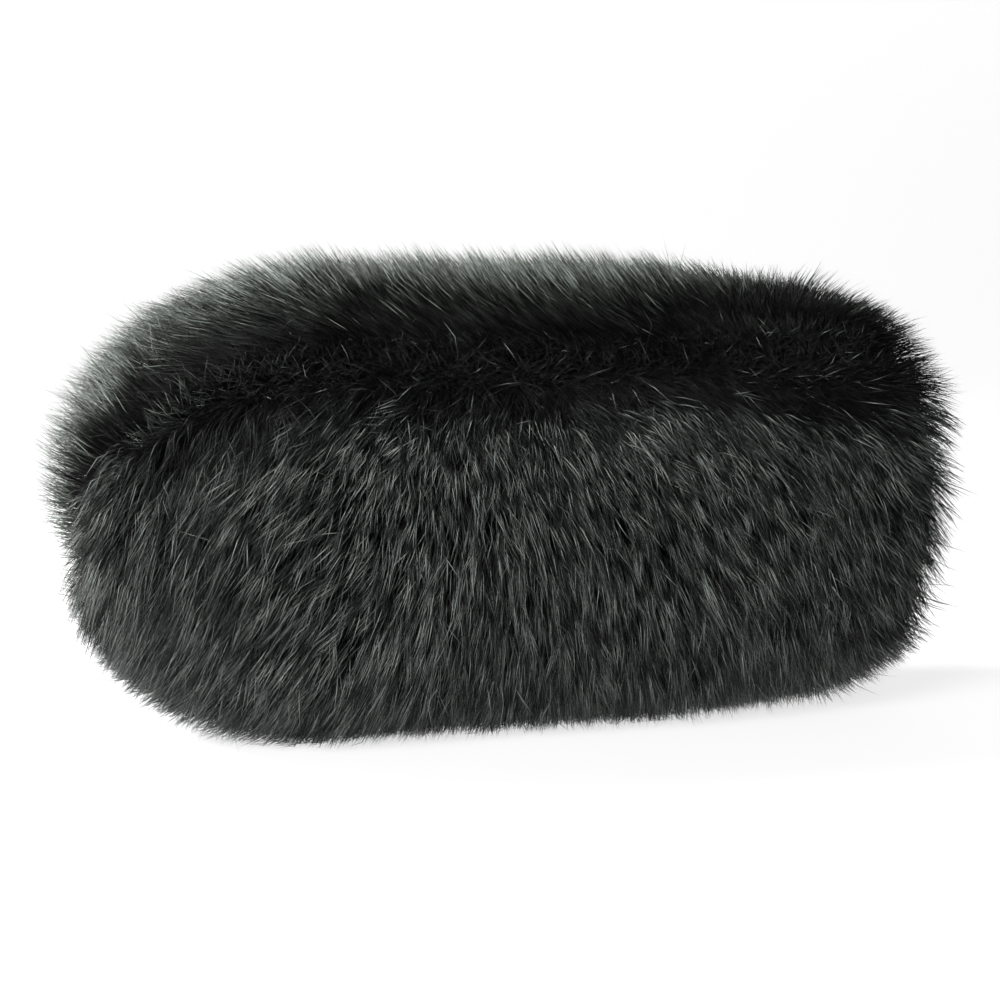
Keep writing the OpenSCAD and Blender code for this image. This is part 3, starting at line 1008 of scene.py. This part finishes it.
base_plastic = moulded_plastic("base_plastic", (0.008, 0.008, 0.009), (0.022, 0.022, 0.024), 1500.0)
cage_plastic = moulded_plastic("cage_plastic", (0.012, 0.012, 0.013), (0.03, 0.03, 0.032), 1100.0)
finishes = {
    "base_ring": base_plastic, "boot_clamp_ring": base_plastic,
    "cage_barrel": cage_plastic, "cage_nose": cage_plastic,
    "rubber_boot": boot_rubber(), "clamp_screws": turned_steel(),
}
for node, finish in finishes.items():
    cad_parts[node].material_slots[0].material = finish


# --- Stage, lights and camera ---

def floor_edge(reach, height, bend=0.5, steps=16):
    """(distance, lift) of a floor that curves up at reach from the middle into a wall of that height."""
    turn = np.linspace(0, math.pi / 2, steps + 1)
    return [(reach + bend * math.sin(a), bend * (1 - math.cos(a))) for a in turn] + [(reach + bend, height)]


def stage():
    """A pale floor that curves up into a backdrop close behind, and into low walls far off elsewhere."""
    near, far = floor_edge(reach=0.9, height=2.0), floor_edge(reach=6.5, height=1.2)
    far_before = [(-distance, lift) for distance, lift in reversed(far)]
    points = [[(x, y, FLOOR_Z + max(x_lift, y_lift)) for x, x_lift in far_before + far]
              for y, y_lift in far_before + near]
    floor = grid_object("studio_floor", np.array(points), False, False)
    n = Nodes("studio_paper", 0.9, Specular_IOR_Level=0.1, Emission_Color=(1, 1, 1, 1),
              Emission_Strength=0.74)
    n.colour(n.ramp(n.noise(3.0), (0.3, (0.36, 0.36, 0.36)), (0.7, (0.37, 0.37, 0.37))))
    floor.data.materials.append(n.material)


def area_light(name, place, target, size, power):
    """A soft light of power watts, facing target."""
    light = bpy.data.lights.new(name, "AREA")
    light.shape = "RECTANGLE"
    light.size, light.size_y = size
    light.energy = power
    obj = bpy.data.objects.new(name, light)
    obj.location = place
    obj.rotation_euler = (Vector(target) - Vector(place)).to_track_quat("-Z", "Y").to_euler()
    bpy.context.scene.collection.objects.link(obj)


def camera(yaw, elevation, roll, distance, lens, aim):
    """Looks at aim from azimuth -yaw, so that the nose is nearer than the rear."""
    a, e = math.radians(yaw), math.radians(elevation)
    ahead = Vector((math.sin(a) * math.cos(e), math.cos(a) * math.cos(e), -math.sin(e)))
    data = bpy.data.cameras.new("camera")
    data.lens = lens
    data.clip_start = 0.01
    obj = bpy.data.objects.new("camera", data)
    turn = ahead.to_track_quat("-Z", "Y").to_matrix().to_4x4() @ Matrix.Rotation(math.radians(roll), 4, "Z")
    obj.matrix_world = Matrix.Translation(Vector(aim) - ahead * distance) @ turn
    bpy.context.scene.collection.objects.link(obj)
    bpy.context.scene.camera = obj


stage()
middle = [(a + b) / 2 for a, b in zip(*cad_box)]
area_light("behind", (-0.65, 0.25, 0.4), (-0.2, 0, 0), (0.3, 0.3), 14.5)
area_light("front", (-0.8, -0.8, 0.36), middle, (0.4, 0.4), 19)
world = bpy.data.worlds.new("studio")
world.use_nodes = True
world.node_tree.nodes["Background"].inputs["Color"].default_value = (1, 1, 1, 1)
world.node_tree.nodes["Background"].inputs["Strength"].default_value = 0.05
bpy.context.scene.world = world
bpy.context.scene.view_settings.view_transform = "Standard"
camera(yaw=20, elevation=7, roll=0.4, distance=0.66, lens=92, aim=(-0.107, 0, -0.001))
